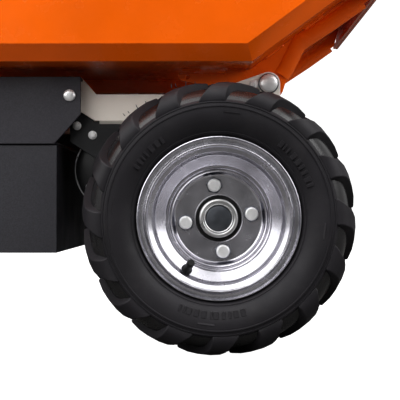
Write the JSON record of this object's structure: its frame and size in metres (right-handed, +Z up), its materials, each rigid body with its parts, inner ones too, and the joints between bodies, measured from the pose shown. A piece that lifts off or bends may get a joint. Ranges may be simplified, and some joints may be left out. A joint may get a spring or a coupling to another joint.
{
  "type": "power wheelbarrow",
  "caption": "Battery power wheelbarrow with a tipping orange steel tray on a cream chassis, lugged drive wheels, rear swivel casters, rear handlebar and control console.",
  "frame": {"origin": "on the ground under the middle of the machine's bounding box", "axes": "+X forward towards the tray's lip, +Y to the machine's left, +Z up"},
  "size_m": [1.3769, 0.687, 0.922],
  "materials": {
    "orange_paint": "gloss powder coat",
    "cream_paint": "satin powder coat",
    "grey_cover": "fine textured powder coat",
    "black_paint": "satin paint",
    "black_plastic": "moulded, lightly textured",
    "grip_rubber": "ribbed",
    "tyre_rubber": "moulded tyre",
    "zinc_plate": "zinc plated",
    "machined_steel": "turned",
    "finned_aluminium": "cast",
    "grey_plastic": "moulded",
    "red_plastic": "moulded",
    "gauge_lens": "clear window over a display"
  },
  "bodies": {
    "chassis": {"chassis_rail_right": "cream_paint", "chassis_rail_left": "cream_paint", "front_cross_member": "cream_paint", "mid_cross_member": "cream_paint", "caster_beam": "cream_paint", "side_cover_right": "grey_cover", "side_cover_left": "grey_cover", "drive_bracket_right": "black_paint", "drive_bracket_left": "black_paint", "battery_box": "black_paint", "battery_box_lid": "black_paint", "gearbox_case_right": "black_paint", "gearbox_case_left": "black_paint", "axle_tube_right": "black_paint", "axle_tube_left": "black_paint", "drive_motor": "black_paint", "handle_tube_right": "black_paint", "handle_tube_left": "black_paint", "handle_crossbar": "black_paint", "charging_socket": "black_plastic", "throttle_housing": "black_plastic", "console_housing": "black_plastic", "grip_right": "grip_rubber", "grip_left": "grip_rubber", "tray_rest_pad": "grip_rubber", "pivot_bolt_right": "zinc_plate", "pivot_bolt_left": "zinc_plate", "caster_plate_right": "zinc_plate", "caster_plate_left": "zinc_plate", "latch_bracket": "zinc_plate", "motor_controller": "finned_aluminium", "battery_right": "grey_plastic", "battery_left": "grey_plastic", "battery_gauge": "gauge_lens"},
    "wheel_right": {"hub_right": "machined_steel", "rim_right": "zinc_plate", "tyre_right": "tyre_rubber", "hub_cap_right": "zinc_plate"},
    "wheel_left": {"hub_left": "machined_steel", "rim_left": "zinc_plate", "tyre_left": "tyre_rubber", "hub_cap_left": "zinc_plate"},
    "final_drive": {"differential": "machined_steel"},
    "caster_right": {"caster_fork_right": "zinc_plate", "caster_axle_right": "zinc_plate"},
    "caster_left": {"caster_fork_left": "zinc_plate", "caster_axle_left": "zinc_plate"},
    "caster_roller_right": {"caster_wheel_right": "grey_plastic", "caster_tyre_right": "tyre_rubber"},
    "caster_roller_left": {"caster_wheel_left": "grey_plastic", "caster_tyre_left": "tyre_rubber"},
    "tray": {"tray_pan": "orange_paint", "hinge_bracket_right": "orange_paint", "hinge_bracket_left": "orange_paint"},
    "latch": {"tray_latch": "zinc_plate", "latch_knob": "black_plastic"},
    "throttle": {"throttle_lever": "black_plastic"},
    "direction_rocker": {"direction_switch": "red_plastic"},
    "key": {"key_switch": "machined_steel"},
    "stop": {"stop_button": "red_plastic"}
  },
  "joints": [
    {"name": "wheel_right_spin", "type": "hinge", "parent": "chassis", "child": "wheel_right", "pos_m": [0.4804, -0.28, 0.165], "axis": [0, 1, 0], "continuous": true},
    {"name": "caster_right_swivel", "type": "hinge", "parent": "chassis", "child": "caster_right", "pos_m": [-0.1396, -0.205, 0.24], "axis": [0, 0, 1], "continuous": true},
    {"name": "caster_right_roll", "type": "hinge", "parent": "caster_right", "child": "caster_roller_right", "pos_m": [-0.1846, -0.205, 0.105], "axis": [0, 1, 0], "continuous": true},
    {"name": "wheel_left_spin", "type": "hinge", "parent": "chassis", "child": "wheel_left", "pos_m": [0.4804, 0.28, 0.165], "axis": [0, 1, 0], "continuous": true},
    {"name": "caster_left_swivel", "type": "hinge", "parent": "chassis", "child": "caster_left", "pos_m": [-0.1396, 0.205, 0.24], "axis": [0, 0, 1], "continuous": true},
    {"name": "caster_left_roll", "type": "hinge", "parent": "caster_left", "child": "caster_roller_left", "pos_m": [-0.1846, 0.205, 0.105], "axis": [0, 1, 0], "continuous": true},
    {"name": "differential_spin", "type": "hinge", "parent": "chassis", "child": "final_drive", "pos_m": [0.4804, 0, 0.165], "axis": [0, 1, 0], "continuous": true},
    {"name": "tray_tip", "type": "hinge", "parent": "chassis", "child": "tray", "pos_m": [0.5448, 0, 0.3366], "axis": [0, 1, 0], "range_deg": [0, 80]},
    {"name": "tray_latch_release", "type": "hinge", "parent": "chassis", "child": "latch", "pos_m": [-0.1516, 0, 0.33], "axis": [0, -1, 0], "range_deg": [0, 25], "stiffness_Nm_per_rad": 3, "springref_deg": -22.92},
    {"name": "throttle_press", "type": "hinge", "parent": "chassis", "child": "throttle", "pos_m": [-0.68135, -0.1907, 0.90368], "axis": [-0.9781, 0, 0.2079], "range_deg": [0, 35], "stiffness_Nm_per_rad": 0.2, "springref_deg": -17.19},
    {"name": "direction_rock", "type": "hinge", "parent": "chassis", "child": "direction_rocker", "pos_m": [-0.45285, 0.004, 0.82545], "axis": [0, 1, 0], "range_deg": [-10, 10]},
    {"name": "key_turn", "type": "hinge", "parent": "chassis", "child": "key", "pos_m": [-0.45454, -0.038, 0.82907], "axis": [0.4226, 0, -0.9063], "range_deg": [0, 90]},
    {"name": "stop_press", "type": "slide", "parent": "chassis", "child": "stop", "axis": [0.4226, 0, -0.9063], "range_m": [0, 0.004], "stiffness_N_per_m": 900, "springref_m": -0.003}
  ]
}
